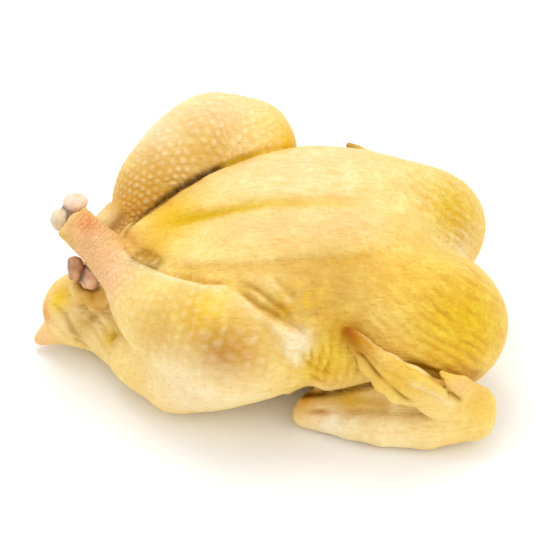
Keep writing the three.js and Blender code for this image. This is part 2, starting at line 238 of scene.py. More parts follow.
FAR_WING = SimpleNamespace(
    upper=(vec(92, 58, 50), vec(28, 78, 32), 20, 9.5),
    web=(vec(38, 80, 30), vec(96, 78, 38), 8, 12),
    forearm=([vec(24, 80, 28), vec(38, 84, 28), vec(56, 87, 29), vec(76, 89, 29), vec(108, 90, 31)],
             [7, 8, 9.5, 10.8, 12]),
    hand=([vec(106, 88, 38), vec(88, 86, 47), vec(72, 83, 58), vec(60, 81, 69), vec(51, 80, 77),
           vec(46, 79, 82)], [12, 10.5, 9.5, 7.5, 4.5, 3]),
    thumb=([vec(91, 87, 64), vec(100, 88, 54), vec(109, 87, 44)], [1.8, 5.6, 9]),
    fringe=([vec(54, 82, 68), vec(59, 85, 58), vec(66, 88, 50), vec(76, 91, 43), vec(88, 92, 39)],
            [2, 3.4, 4.4, 5, 5]),
    outward=unit(vec(0, 1, 0.5)),
)

# Linear colours of the bared knuckles, of the tissue round them, and of the painted shade between them.
PEARL = vec(0.78, 0.68, 0.46)
SHELL = vec(0.88, 0.69, 0.51)
FLUSH = vec(0.66, 0.39, 0.24)
LIVER = vec(0.54, 0.28, 0.14)
# Dark red-brown of the bared tissue, also used as painted shade between the knuckles.
GRISTLE_AND_SHADE = vec(0.13, 0.05, 0.02)

NEAR_BONE = SimpleNamespace(
    colours=(SHELL, PEARL),
    blotches=0.08,
    dents=0.25,
    inner=vec(-5.3, -59.3, 44),
    exit=vec(-113.5, 0.4, 89.6),
    knuckles=[(vec(-113.5, 13.5, 99), vec(7, 5.6, 5)), (vec(-122.3, 7.5, 91), vec(5.6, 5.4, 7))],
)
FAR_BONE = SimpleNamespace(
    colours=(FLUSH, LIVER),
    blotches=0.5,
    dents=0.7,
    inner=vec(-37.6, 80.7, 75.2),
    exit=vec(-104, -5, 58.5),
    knuckles=[(vec(-106.3, -11, 64), vec(6, 6.6, 8)), (vec(-114.3, -10, 69.5), vec(4.6, 5.8, 8.5))],
)


# ---- The bird's shapes ----


def in_torso(p):
    """Points in the torso's own frame, which leans over by TORSO_ROLL."""
    q = p - TORSO_PLACE
    c, s = math.cos(TORSO_ROLL), math.sin(TORSO_ROLL)
    return np.stack([q[:, 0], c * q[:, 1] + s * q[:, 2], c * q[:, 2] - s * q[:, 1]], -1)


def torso(p):
    q = in_torso(p)
    half = q.copy()
    half[:, 1] = np.hypot(q[:, 1], CREST_SOFTNESS)
    return joined(
        ellipsoid(half, *RIB_CAGE),
        (FILLET.breast, ellipsoid(half, *BREAST_LOBE)),
        (FILLET.shoulder, ellipsoid(half, *SHOULDER)),
        (FILLET.full_shoulder, ellipsoid(q, *FULL_SHOULDER)),
        (FILLET.full_breast, ellipsoid(q, *FULL_BREAST)),
        (FILLET.breast_end, rod(half, *BREAST_END)),
        (FILLET.keel, rod(half, *KEEL)),
        (FILLET.hips, rod(half, *HIPS)),
        (FILLET.keel_point, rod(p, *KEEL_POINT)),
    )


def tail(p):
    return joined(
        rod(p, *TAIL_STUMP),
        (FILLET.tail_tip, strap(p, *TAIL_TIP)),
        (FILLET.thigh_skin, chain(p, *THIGH_SKIN, [FILLET.thigh_skin])),
    )


def ragged(p, amount, size):
    """Uneven growth of a thin edge, in millimetres."""
    return amount * noise(p / size, 11)


def leg(p, spec):
    outward = unit(spec.ankle - spec.knots[0])
    shank = rod(p, spec.ankle, spec.knots[0], SHANK_RADIUS, spec.radii[0])
    cut = (p - spec.ankle) @ outward + ragged(p, 1.6, 5)
    return joined(
        smooth_max(shank, cut, CUT_EDGE),
        (FILLET.thigh, chain(p, spec.knots, spec.radii, FILLET.leg_knots)),
        (FILLET.hip, rod(p, *spec.hip)),
    )


def leading_edge(p, spec):
    """The row of bones along the upper edge of the hand."""
    lift, full_radius = vec(1.5, 0, 6), 9
    knots = [knot + spec.outward * 3.6 + lift * min(1, radius / full_radius)
             for knot, radius in zip(*spec.hand)]
    return chain(p, knots[1:], [3, 3.2, 3, 2.6, 2.2], FILLET.arm_knots)


def wing(p, spec):
    arm = joined(
        rod(p, *spec.upper),
        (FILLET.web, rod(p, *spec.web)),
        (FILLET.arm, chain(p, *spec.forearm, FILLET.arm_knots)),
    )
    hand = blade(p, *spec.hand, spec.outward, HAND_FLATNESS)
    fringe = blade(p, *spec.fringe, spec.outward, THIN_FLATNESS) - ragged(p, 0.7, 4)
    return joined(
        arm,
        (FILLET.hand, smooth_min(hand, leading_edge(p, spec), FILLET.leading_edge)),
        (FILLET.fringe, fringe),
        (FILLET.thumb, blade(p, *spec.thumb, spec.outward, THIN_FLATNESS)),
    )


def carcass(p):
    d = joined(
        torso(p),
        (FILLET.tail, tail(p)),
        (FILLET.flap, rod(p, *VENT_FLAP)),
        (FILLET.near_leg, leg(p, NEAR_LEG)),
        (FILLET.far_leg, leg(p, FAR_LEG)),
        (FILLET.cuff, chain(p, *FAR_CUFF, [FILLET.cuff] * 2)),
    )
    d = smooth_max(d, -rod(p, *ELBOW_HOLLOW), FILLET.elbow)
    d = joined(d, (FILLET.wing, wing(p, NEAR_WING)), (FILLET.wing, wing(p, FAR_WING)))
    d = smooth_max(d, -rod(p, *BREAST_PIT), FILLET.pit)
    return smooth_max(d, -p[:, 2], FLOOR_EDGE)


def bone(p, spec):
    knee = spec.exit + unit(spec.inner - spec.exit) * BONE_LENGTH
    first, second = spec.knuckles
    middle = (first[0] + second[0]) / 2
    knuckles = smooth_min(ellipsoid(p, *first), ellipsoid(p, *second), FILLET.knuckles)
    return joined(
        knuckles,
        (FILLET.neck, rod(p, spec.exit, middle, BONE_SHAFT, BONE_NECK)),
        (FILLET.shaft, rod(p, knee, spec.exit, BONE_SHAFT, BONE_EXIT)),
    )


# ---- From shapes to meshes ----

EDGES = [(i, i | (1 << axis)) for i in range(8) for axis in range(3) if not (i >> axis) & 1]
STRIDE = 4  # fine grid cells along one side of a coarse one
NEAR_REACH = 1.7  # coarse cells from the surface within which the field is worked out in full
SLOPE_STEP = 0.1
LEAST_SLOPE = 0.1  # keeps a settling step short where the shape is almost flat
LONGEST_STEP = 2
RELAX_SHARE = 0.6  # how far a point slides toward its neighbours in one round
RELAX_ROUNDS = 2


def spread(blocks):
    """Repeats each value over a block of STRIDE nodes a side."""
    for axis in range(3):
        blocks = np.repeat(blocks, STRIDE, axis)
    return blocks


def sampled(shape, low, high, cell):
    """The field at the nodes of a grid, worked out in full only near the surface."""
    block = cell * STRIDE
    counts = np.ceil((high - low) / block).astype(int) + 1
    middles = [low[n] + block * (np.arange(counts[n]) + 0.5) for n in range(3)]
    coarse = np.stack(np.meshgrid(*middles, indexing="ij"), -1).reshape(-1, 3)
    far = shape(coarse).reshape(counts)
    values = spread(far)
    close = spread(np.abs(far) < NEAR_REACH * block)
    values[close] = shape(low + cell * (np.argwhere(close) + 0.5))
    return values


def gradient(shape, p):
    slope = np.empty_like(p)
    for axis in range(3):
        shift = np.zeros(3)
        shift[axis] = SLOPE_STEP
        slope[:, axis] = (shape(p + shift) - shape(p - shift)) / (2 * SLOPE_STEP)
    return slope


def settled(shape, p):
    """Moves points along the field's slope on to the surface."""
    slope = gradient(shape, p)
    steep = np.maximum((slope * slope).sum(-1), LEAST_SLOPE)
    return p - slope * np.clip(shape(p) / steep, -LONGEST_STEP, LONGEST_STEP)[:, None]


def crossings(values, cells, low, cell):
    """For each cell that the surface passes, the middle of the points where it cuts the cell's edges."""
    corner = np.stack([values[tuple((cells + c).T)] for c in CORNERS])
    total = np.zeros((len(cells), 3))
    count = np.zeros(len(cells))
    for a, b in EDGES:
        cut = (corner[a] < 0) != (corner[b] < 0)
        share = np.where(cut, corner[a] / np.where(cut, corner[a] - corner[b], 1), 0)
        point = CORNERS[a] + share[:, None] * (CORNERS[b] - CORNERS[a])
        total += point * cut[:, None]
        count += cut
    return low + cell * (cells + total / count[:, None] + 0.5)


def quads_of(inside, vertex_of):
    """A face for each grid edge with one end inside, joining the four cells round it."""
    faces = []
    for axis in range(3):
        u, v = (axis + 1) % 3, (axis + 2) % 3
        first = inside.take(range(inside.shape[axis] - 1), axis)
        second = inside.take(range(1, inside.shape[axis]), axis)
        edges = np.argwhere(first != second)
        edges = edges[(edges[:, u] > 0) & (edges[:, v] > 0)]
        step_u, step_v = np.eye(3, dtype=int)[u], np.eye(3, dtype=int)[v]
        ring = [edges - step_u - step_v, edges - step_v, edges, edges - step_u]
        quads = np.stack([vertex_of[tuple(c.T)] for c in ring], -1)
        outward = inside[tuple(edges.T)]
        faces.append(np.where(outward[:, None], quads, quads[:, ::-1]))
    return np.concatenate(faces)


def relaxed(shape, points, quads):
    """Slides points toward the middle of their neighbours, keeping them on the surface."""
    start = quads.reshape(-1)
    end = np.roll(quads, -1, axis=1).reshape(-1)
    count = np.bincount(start, minlength=len(points)) + np.bincount(end, minlength=len(points))
    for _ in range(RELAX_ROUNDS):
        middle = np.empty_like(points)
        for axis in range(3):
            sums = np.bincount(start, points[end, axis], len(points))
            sums += np.bincount(end, points[start, axis], len(points))
            middle[:, axis] = sums / count
        points = settled(shape, points * (1 - RELAX_SHARE) + middle * RELAX_SHARE)
    return points


def corners_inside(inside):
    """How many of each cell's eight corners are inside."""
    x, y, z = inside.shape
    return sum(inside[i : x - 1 + i, j : y - 1 + j, k : z - 1 + k].astype(int) for i, j, k in CORNERS)


def surface(shape, low, high, cell):
    """Points and four-sided faces of the shape's surface."""
    low, high = np.array(low, float), np.array(high, float)
    values = sampled(shape, low, high, cell)
    inside = values < 0
    counts = corners_inside(inside)
    cells = np.argwhere((counts > 0) & (counts < 8))
    points = settled(shape, crossings(values, cells, low, cell))
    vertex_of = np.full(inside.shape, -1)
    vertex_of[tuple(cells.T)] = np.arange(len(cells))
    quads = quads_of(inside, vertex_of)
    return relaxed(shape, points, quads), quads


def mesh_object(name, points, quads):
    mesh = bpy.data.meshes.new(name)
    mesh.from_pydata(to_world(points).tolist(), [], quads.tolist())
    mesh.polygons.foreach_set("use_smooth", [True] * len(mesh.polygons))
    mesh.update()
    piece = bpy.data.objects.new(name, mesh)
    bpy.context.scene.collection.objects.link(piece)
    return piece


# ---- Lines on the skin ----


def line(*knots):
    return np.array(knots, float)


NEAR_LEG_EDGE = line((-86, -12, 89), (-80, -22, 88), (-67, -34, 89), (-53, -41, 89), (-40, -50, 92),
                     (-26, -53, 94))
KNEE_FOLD = line((-25.5, -53.3, 93.6), (-18.7, -60.3, 90.9), (-13.5, -64.5, 88.1), (-4.6, -69.3, 84.3),
                 (2.2, -72.9, 80.9), (9, -75.1, 78.3), (12.5, -78.5, 73))
UPPER_FOLD = line((-24.4, -52.3, 94.1), (-14.4, -57.6, 92.8), (-7.1, -62.9, 90), (-3.4, -65.8, 88.2),
                  (1.3, -68.5, 86.2), (6.9, -74.2, 79.7))
THIRD_FOLD = line((-4.6, -53.7, 96.8), (0.6, -58.4, 94.4), (3.1, -61.8, 92.3), (8.3, -64.3, 90.7))
LOW_FOLD_RIDGE = line((-18.6, -57.7, 92.2), (-13.9, -60.4, 90.9), (-8.2, -64.8, 88.2))
HIGH_FOLD_RIDGE = line((-11.5, -52.9, 96.4), (-4.2, -56.6, 95.1), (0.5, -61.1, 92.5), (6.1, -67.3, 87.8))
KNEE_RIDGE = line((-6, -72, 81), (2, -76, 76), (5, -80, 68), (9, -82, 54))
KEEL_GROOVE = line((-71, -6, 95), (-43, -6, 103), (-19, -8, 110), (7, -6, 112), (29, -5, 110),
                   (51, -6, 107))
KEEL_BAND = line((-48, -22, 100), (-15, -26, 107), (15, -24, 109), (45, -20, 106), (66, -18, 100))
BREAST_STEP = line((-65, -28, 88), (-49, -35, 92), (-27, -42, 98), (-11, -45, 101), (5, -44, 102),
                   (19, -43, 102), (32, -44, 101), (46, -39, 100), (60, -35, 98))
FEATHER_PITS = (vec(28, -43, 102), vec(63, -31, 99), 9)  # the first, the last and how many
PIT_SHADE = line((-77, -23, 88), (-69, -29, 88.5))
TAIL_FOLD = line((-130, -4, 39), (-122, -12, 37), (-119, -17, 27), (-111, -20, 18))
LOWER_TAIL_FOLD = line((-119, -16.5, 22), (-115, -16.5, 18), (-110, -17.5, 14))
VENT_FOLD = line((-113, -19, 52), (-109, -20, 46), (-106, -15, 38), (-109, -16, 34))
THIGH_BACK_FOLD = line((-97, -24, 42), (-94, -27, 33), (-90, -33, 24))
LONG_FLANK_CREASE = line((7.8, -79.4, 68.6), (11.6, -81.1, 62), (15.4, -81.7, 56.5), (22.5, -81.5, 52.4),
                         (30, -80.5, 47.5))
SHORT_FLANK_CREASE = line((13.8, -81.5, 52), (17.2, -80.9, 47.6), (22.5, -79, 41))
HAND_RIDGE = line((36, -81, 84), (43, -82, 78), (53, -84, 70), (67, -84, 59), (83, -84, 48))
WRIST_RIDGE = line((66, -91, 55), (78, -92, 46), (88, -92, 38), (96, -91, 32))
THUMB_GAP = line((86, -86, 47), (90, -90, 43), (98, -89, 34))
WING_HOLLOW = line((16, -70, 21), (32, -75, 24), (48, -77, 24), (62, -80, 22))
WING_CREVICE = line((66, -79, 54), (71.5, -78, 52), (77, -78.6, 50), (83, -79, 47.5), (90, -80, 44))
WING_TIP = vec(34, -83, 83)
ARM_LINE = line((11, -74, 15.5), (21, -76.5, 17), (30, -77, 18), (46.6, -79, 19.6), (60, -80, 20.3))
HAND_GAP = line((37, -84, 73), (42, -86, 67.5), (47, -88, 61), (53, -91, 54), (58, -91.5, 48),
                (65, -93, 42), (72, -93, 36.5))
FAR_CREVICE = line((-87, -9, 89), (-77, 5, 93), (-60, 20, 96), (-50, 24, 100), (-33, 35, 105))
KNEE_CREVICE = line((-33, 35, 105), (-20, 41, 107), (-5, 50, 106), (10, 64, 99))

FAR_OFF = 1e9


def to_path(p, path):
    """Distance from each point to a line, and the share of the line's length reached."""
    best = np.full(len(p), FAR_OFF)
    share = np.zeros(len(p))
    for n, (a, b) in enumerate(zip(path[:-1], path[1:])):
        t = np.clip(((p - a) @ (b - a)) / ((b - a) @ (b - a)), 0, 1)
        d = np.linalg.norm(p - a - t[:, None] * (b - a), axis=1)
        share = np.where(d < best, (n + t) / (len(path) - 1), share)
        best = np.minimum(best, d)
    return best, share


def bell(d, width):
    return np.exp(-((d / width) ** 2))


def near(p, centre, reach):
    """1 at centre, falling smoothly away from it."""
    return bell(np.linalg.norm(p - centre, axis=1), reach)


def groove(p, path, width, fade=0.15):
    """1 along a line, falling away on both sides of it and, over a share of its length, at its ends."""
    d, share = to_path(p, path)
    ends = np.clip(np.minimum(share, 1 - share) / fade, 0, 1) if fade else 1
    return bell(d, width) * ends


# ---- Follicles on the legs ----

CURVE_STEPS = 8  # points on a leg's curve for each of its knots
LEG_UP = vec(0, -1, 1)
SHANK_ROWS = 8  # rows of follicles on the shank
FOLLICLE_SIZE = 0.3


def smooth_path(knots):
    """Points of a curve through the knots."""
    padded = [2 * knots[0] - knots[1], *knots, 2 * knots[-1] - knots[-2]]
    points = []
    for a, b, c, d in zip(padded, padded[1:], padded[2:], padded[3:]):
        for t in np.arange(CURVE_STEPS) / CURVE_STEPS:
            bend = (2 * a - 5 * b + 4 * c - d) * t * t + (3 * b - a - 3 * c + d) * t ** 3
            points.append(0.5 * (2 * b + (c - a) * t + bend))
    points.append(knots[-1])
    return np.array(points)


def follicle_rows(curve, radii, columns):
    """The limb's radius at each point of its curve, and the rows of follicles passed by there."""
    share = np.linspace(0, len(radii) - 1, len(curve))
    girth = np.interp(share, np.arange(len(radii)), radii)
    spacing = 2 * math.pi * girth / columns
    steps = np.linalg.norm(np.diff(curve, axis=0), axis=1)
    return girth, np.concatenate([[0], np.cumsum(steps / (0.5 * (spacing[1:] + spacing[:-1])))])


def limb_map(p, spec):
    """Follicle coordinates on a leg: rows along it, columns round it, and 0 past its round end."""
    curve = smooth_path([spec.ankle, *spec.knots])
    girth, rows = follicle_rows(curve, spec.follicle_radii, spec.follicle_columns)
    best = np.full(len(p), FAR_OFF)
    out = np.zeros((len(p), 3))
    last = len(curve) - 2
    for n in range(last + 1):
        a, axis = curve[n], curve[n + 1] - curve[n]
        reached = ((p - a) @ axis) / (axis @ axis)
        t = np.clip(reached, 0, 1)
        d = np.linalg.norm(p - a - t[:, None] * axis, axis=1)
        closer = d < best
        best = np.minimum(best, d)
        beyond = np.maximum(reached - 1, 0) * (n == last)
        t = t + beyond
        off = p - a - t[:, None] * axis
        side = unit(np.cross(unit(axis), LEG_UP))
        up = np.cross(side, unit(axis))
        turn = np.arctan2(off @ side, off @ up) / (2 * math.pi) * spec.follicle_columns
        end_fade = 1 - np.clip((beyond * np.linalg.norm(axis) / girth[-1] - 0.35) / 0.45, 0, 1)
        here = np.stack([rows[n] + t * (rows[n + 1] - rows[n]), turn, end_fade], -1)
        out[closer] = here[closer]
    return out


def follicles(coordinates):
    """Dots on a staggered lattice: 1 at the middle of a follicle and 0 between them."""
    rows, columns, _ = coordinates.T
    across = columns + 0.5 * (np.floor(rows) % 2)
    return bell(np.hypot(rows % 1 - 0.5, across % 1 - 0.5), FOLLICLE_SIZE)


# ---- Colours ----


def srgb(red, green, blue):
    """A colour given as 0 to 255 screen values, as linear light."""
    c = np.array([red, green, blue]) / 255
    return np.where(c <= 0.04045, c / 12.92, ((c + 0.055) / 1.055) ** 2.4)


IVORY = srgb(255, 243, 218)
CREAM = srgb(254, 235, 186)
VANILLA = srgb(250, 220, 176)
FAWN = srgb(238, 204, 146)
BUTTER = srgb(247, 208, 92)
HONEY = srgb(236, 192, 74)
GOLD = srgb(236, 192, 30)
DEEP_GOLD = srgb(214, 174, 28)
TAN = srgb(222, 166, 72)
STRAW = srgb(246, 218, 150)
OCHRE = srgb(212, 164, 66)
KHAKI = srgb(200, 160, 90)
RUSSET = srgb(188, 126, 42)
BLUSH = srgb(250, 200, 156)
SALMON = srgb(244, 190, 154)
ROSE = srgb(232, 142, 92)
AMBER = srgb(202, 142, 40)
RUST = srgb(186, 104, 4)
OLIVE = srgb(160, 116, 16)
# Painted shade in the folds and creases.
FOLD_SHADE = srgb(176, 126, 34)
UMBER = srgb(84, 44, 2)

# Linear tints of the skin's fine textures.
WARM_MOTTLE = (0.93, 0.80, 0.62)
WARM_FIBRE = (0.93, 0.84, 0.66)
WARM_GRAIN = (0.88, 0.78, 0.6)
DARK_FLECK = (0.9, 0.76, 0.42)
RING_PINK = (0.95, 0.78, 0.62)
VEIN_RED = (0.72, 0.52, 0.42)
WHITE = (1, 1, 1)

SKIN_GAIN = 0.96
GLOSS_LIFT = vec(0.0, 0.004, 0.03)  # the white that gloss adds, taken out of the pigment

# Where the skin is tinted: the middle of each patch, its reach, its colour and its strength. Some of the
# tints are painted shade or painted highlight, as marked.
PATCHES = (
    (vec(12, 30, 108), 60, VANILLA, 0.75),
    (vec(-58, 0, 96), 17, GOLD, 0.85),
    (vec(-70, -18, 90), 12, GOLD, 0.6),
    (vec(-83, -9, 90), 8, TAN, 0.95),
    (vec(26, -60, 94), 32, KHAKI, 0.85),
    (vec(16, -56, 95), 14, TAN, 0.35),
    (vec(48, -52, 93), 16, TAN, 0.3),
    (vec(96, -66, 74), 30, DEEP_GOLD, 0.85),
    (vec(72, -50, 94), 26, HONEY, 0.6),
    (vec(107, -4, 72), 15, IVORY, 0.9),
    (vec(91, -78, 59), 15, BUTTER, 0.9),
    (vec(104, -60, 60), 26, GOLD, 0.5),
    (vec(101, 6, 90), 22, DEEP_GOLD, 0.85),
    (vec(112, 10, 66), 18, HONEY, 0.6),
    (vec(112, -6, 64), 6, BUTTER, 0.4),
    (vec(30, -88, 40), 20, HONEY, 0.6),
    (vec(-54, -68, 77), 22, OCHRE, 0.55),
    (vec(-40, -68, 84), 15, GOLD, 0.6),
    (vec(-30, -84, 70), 17, RUSSET, 0.95),
    (vec(-18, -80, 66), 12, TAN, 0.5),
    (vec(-66, -66, 66), 16, OCHRE, 0.45),
    # The next two pale the underside of the near leg: painted light bounced up from the floor.
    (vec(-52, -80, 36), 26, IVORY, 0.7),
    (vec(-24, -82, 38), 20, CREAM, 0.6),
    # Painted highlight on the knee's pale lip.
    (vec(8, -78, 70), 9, IVORY, 0.85),
    (vec(-80, -36, 83), 16, STRAW, 0.8),
    (vec(-94, -26, 80), 17, SALMON, 0.85),
    (vec(-106, -6, 90), 17, SALMON, 0.85),
    (vec(-106, -4, 96), 7, ROSE, 0.8),
    (vec(-116, -3, 88), 7, HONEY, 0.7),
    # The next two pale the top of the far thigh: painted highlight.
    (vec(-66, 58, 114), 18, IVORY, 0.6),
    (vec(-34, 62, 124), 26, VANILLA, 0.95),
    (vec(-66, 34, 96), 22, AMBER, 0.8),
    (vec(-84, 24, 84), 20, AMBER, 0.85),
    (vec(-38, 44, 112), 20, OCHRE, 0.8),
    (vec(4, 60, 104), 20, BUTTER, 0.95),
    (vec(1, 60, 112), 13, STRAW, 0.4),
    (vec(8, 62, 100), 9, GOLD, 0.8),
    (vec(-104, 6, 45), 22, TAN, 0.5),
    (vec(-124, -9, 38), 13, IVORY, 0.55),
    (vec(-139, -3, 12), 10, BLUSH, 0.75),
    (vec(-135, -4, 31), 7, ROSE, 0.75),
    (vec(-126, -5, 42), 8, GOLD, 0.6),
    (vec(-107, -15, 50), 9, AMBER, 0.8),
    (vec(-98, 18, 82), 8, CREAM, 0.9),
    # Painted shade in the fold at the back of the near thigh.
    (vec(-93, -28, 34), 7, OLIVE, 0.6),
    (vec(-92, -24, 30), 20, CREAM, 0.6),
    (vec(-107, -18, 30), 13, CREAM, 0.5),
    (vec(28, -82, 14), 20, IVORY, 0.95),
    (vec(60, -92, 8), 30, CREAM, 0.75),
    (vec(-126, -5, 43), 9, GOLD, 0.7),
    (vec(-97, -27, 32), 8, GOLD, 0.75),
    (vec(-112, -16, 32), 7, OCHRE, 0.6),
    # The next two darken the upper arm where the body overhangs it: painted shade.
    (vec(14, -70, 20), 9, TAN, 0.9),
    (vec(38, -74, 26), 10, OCHRE, 0.9),
    (vec(62, -89, 54), 20, HONEY, 0.75),
    (vec(42, -84, 74), 10, AMBER, 0.8),
    (vec(34, -83, 83), 10, AMBER, 0.95),
    (vec(33, -83, 84), 6, UMBER, 0.8),
    (vec(46, 80, 84), 9, OLIVE, 0.8),
    (vec(98, -90, 45), 9, BLUSH, 0.5),
    (vec(108, -88, 28), 13, HONEY, 0.5),
)


def painted(p, layers):
    """Skin colour with painted shade and highlights: the patches, then the layers of (weight, colour), each
    over the last.
    """
    tone = np.tile(BUTTER * 0.6 + CREAM * 0.4, (len(p), 1))
    for centre, reach, colour, strength in PATCHES:
        weight = (near(p, centre, reach) * strength)[:, None]
        tone = tone * (1 - weight) + colour * weight
    for weight, colour in layers:
        tone = tone * (1 - weight[:, None]) + colour * weight[:, None]
    return np.clip(tone * SKIN_GAIN - GLOSS_LIFT, 0.001, 1)


# ---- Feather rows and flecks ----

FLECK_LENGTH = 7.0
FLECK_WIDTH = 2.8
ROW_SIDE = vec(0.2, -0.9, 0.4)
NEAR_ROWS = vec(0.8, -0.3, -0.55)
FAR_ROWS = vec(1, -0.1, 0)
FRONT_ROWS = vec(0.45, -0.8, 0.1)


def streaks(p, along, spacing, seed):
    """Fine parallel ridges along a direction, wandering and broken, between -1 and 1."""
    side = unit(np.cross(unit(along), ROW_SIDE))
    wave = np.sin(2 * math.pi * (p @ side) / spacing + 4 * noise(p / (2.2 * spacing), seed))
    return wave * (0.5 + 0.6 * noise(p / (1.6 * spacing), seed + 1))


def along_rows(p, direction):
    """Coordinates in flecks along a direction and across it."""
    direction = unit(direction)
    side = unit(np.cross(direction, ROW_SIDE))
    third = np.cross(direction, side)
    return np.stack([p @ direction / FLECK_LENGTH, p @ side / FLECK_WIDTH, p @ third / FLECK_WIDTH], -1)


def fleck_map(p):
    """Coordinates stretched along the lie of the feather rows, different on each side of the keel."""
    near_side = np.clip((-12 - p[:, 1]) / 18, 0, 1)[:, None]
    front = np.clip((p[:, 0] - 60) / 15, 0, 1)[:, None]
    far_rows = along_rows(p, FAR_ROWS) * (1 - front) + along_rows(p, FRONT_ROWS) * front
    return along_rows(p, NEAR_ROWS) * near_side + far_rows * (1 - near_side)


# ---- Where the skin's features lie: each is a weight at every point ----


def held(weight):
    return np.clip(weight, 0, 1)


def on_surface(distance, reach):
    return bell(np.maximum(distance, 0), reach)


def seam(a, b, width):
    """1 where two parts meet, falling away from there."""
    return bell(np.maximum(np.abs(a), np.abs(b)), width)


def part_fields(p):
    """Distances to the bird's parts, and the seams between them."""
    f = SimpleNamespace(near_leg=leg(p, NEAR_LEG), far_leg=leg(p, FAR_LEG), body=torso(p))
    near_wing, far_wing = wing(p, NEAR_WING), wing(p, FAR_WING)
    f.on_near = on_surface(f.near_leg, 1.2)
    f.on_far = on_surface(f.far_leg, 1.2)
    f.off_wing = 1 - on_surface(np.minimum(near_wing, far_wing), 1)
    f.seam_near = seam(f.near_leg, f.body, 2.2)
    f.seam_far = seam(f.far_leg, f.body, 1.8)
    f.seam_wing = seam(near_wing, f.body, 2.5)
    # Painted shade under the body along the near wing, low down.
    f.seam_under = seam(near_wing, f.body, 2) * (p[:, 2] < 38) * (p[:, 0] < 75)
    return f


def add_follicles(p, f):
    """Follicles on both legs and the fine rings of the near shank."""
    near_map, far_map = limb_map(p, NEAR_LEG), limb_map(p, FAR_LEG)
    far_side = f.far_leg < f.near_leg
    f.follicle_map = np.where(far_side[:, None], far_map, near_map)
    f.follicle_map[:, 0] += 0.3 * noise(p / 7, 21)
    f.follicle_map[:, 1] += 0.3 * noise(p / 7, 22)
    past_shank = 0.5 + 0.5 * held((near_map[:, 0] - SHANK_ROWS) / 5)
    thigh = past_shank * bell(np.maximum(0, 52 - p[:, 2]), 16)
    bumpy = np.where(far_side, 0.9 * f.on_far * (1 - f.seam_far), 0.6 * f.on_near * thigh)
    f.bumpy = bumpy * f.off_wing * f.follicle_map[:, 2]
    f.dots = follicles(f.follicle_map) * f.bumpy
    f.ringed = f.on_near * bell(np.maximum(0, near_map[:, 0] - SHANK_ROWS), 4) * f.off_wing


def add_folds(p, f):
    """The near leg's upper edge, the folds at its knee, the flank's creases and the tail's folds."""
    f.edge = groove(p, NEAR_LEG_EDGE, 1.8, 0.1)
    f.lip = groove(p, NEAR_LEG_EDGE + vec(-1.5, -3, -1.5), 2.6, 0.1)
    f.fold = groove(p, KNEE_FOLD, 1.9)
    f.fold_lip = groove(p, KNEE_FOLD + vec(-2.5, -3, -3), 3.2)
    f.upper_fold = groove(p, UPPER_FOLD, 1.8) + 0.7 * groove(p, THIRD_FOLD, 1.8)
    f.fold_ridges = groove(p, LOW_FOLD_RIDGE, 1.8) + groove(p, HIGH_FOLD_RIDGE, 2.6)
    f.fold_shade = near(p, vec(-1, -69, 85), 8)
    f.flank_creases = groove(p, LONG_FLANK_CREASE, 1.6) + groove(p, SHORT_FLANK_CREASE, 1.8)
    f.ridge = groove(p, KNEE_RIDGE, 4)
    f.tail_folds = groove(p, TAIL_FOLD, 1.8) + groove(p, VENT_FOLD, 2.2) + groove(p, THIGH_BACK_FOLD, 2.4)
    f.tail_folds += 0.7 * groove(p, LOWER_TAIL_FOLD, 1.6)


def add_wing_lines(p, f):
    """Ridges of the near wing's hand, the gaps round it and the painted shade in the hollow over the
    forearm.
    """
    f.wing_ridges = groove(p, HAND_RIDGE, 2.2) + groove(p, WRIST_RIDGE, 2)
    f.thumb_gap = groove(p, THUMB_GAP, 1.3)
    # Only a colour mask: painted shade in the hollow over the forearm.
    f.wing_hollow = groove(p, WING_HOLLOW, 5.5)
    f.wing_crevice = groove(p, WING_CREVICE, 2.4)
    f.hand_gap = groove(p, HAND_GAP, 1.4)
    f.wing_lines = groove(p, ARM_LINE, 1.6) + f.hand_gap


def breast_step(p):
    """The low step along the near side of the breast: positive below it and negative above."""
    distance, share = to_path(p, BREAST_STEP)
    ends = held(np.minimum(share, 1 - share) / 0.12)
    line = np.interp(p[:, 0], BREAST_STEP[:, 0], BREAST_STEP[:, 1])
    below = np.clip((line - p[:, 1]) / 1.5 + 0.9 * noise(p / 4, 8), -1, 1)
    return below * bell(distance, 8) * ends


def feather_pits(p):
    """A staggered row of short nicks along the breast's near side."""
    start, end, count = FEATHER_PITS
    pits = np.zeros(len(p))
    for n in range(count):
        middle = start + (end - start) * (n / (count - 1)) + vec(0, 0.8 * (n % 2), 0)
        pits = np.maximum(pits, groove(p, np.array([middle, middle + vec(1.8, -4, -1)]), 1, 0))
    return pits


def add_breast(p, f):
    """The keel's groove and band, the step and pits beside it, and the masks of painted shade in the far
    leg's crevice and in the pit by the near shank.
    """
    f.keel = groove(p, KEEL_GROOVE, 4.5)
    f.keel_fade = held(1.15 - to_path(p, KEEL_GROOVE)[1] * 0.8)
    f.band = groove(p, KEEL_BAND, 11, 0.25)
    f.step = breast_step(p)
    f.pits = feather_pits(p)
    # The mask of the painted shade in the far leg's crevice.
    f.crevice = np.maximum(f.seam_far * held((-6 - p[:, 0]) / 12), groove(p, FAR_CREVICE, 1.5))
    # The mask of the painted shade in the pit by the near shank.
    f.hollow = groove(p, PIT_SHADE, 4.8, 0)


